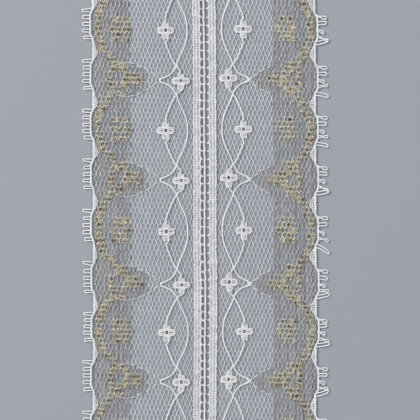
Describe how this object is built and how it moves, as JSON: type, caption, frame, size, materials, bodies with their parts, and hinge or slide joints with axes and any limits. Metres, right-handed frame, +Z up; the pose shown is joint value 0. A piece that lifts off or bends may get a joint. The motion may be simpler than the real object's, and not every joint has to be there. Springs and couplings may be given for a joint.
{
  "type": "raschel lace trim",
  "caption": "Flat openwork knitted lace galloon with scalloped picot edges, an open centre ladder between two closed bands, white vines and crosses, and dull gold motifs.",
  "frame": {"origin": "middle of the width and length, on the underside", "axes": "+Y along the lace, +X across it, +Z up out of its face"},
  "size_m": [0.085, 0.1464, 0.0014],
  "materials": {
    "white_yarn": "semi-bright white filament yarn, knitted as an open net, closed bands and thick outline threads",
    "gold_yarn": "dull antique gold metallic yarn laid into the net in flower, fan and band motifs"
  },
  "bodies": {
    "root": {"lace_trim": "white_yarn"}
  },
  "joints": []
}
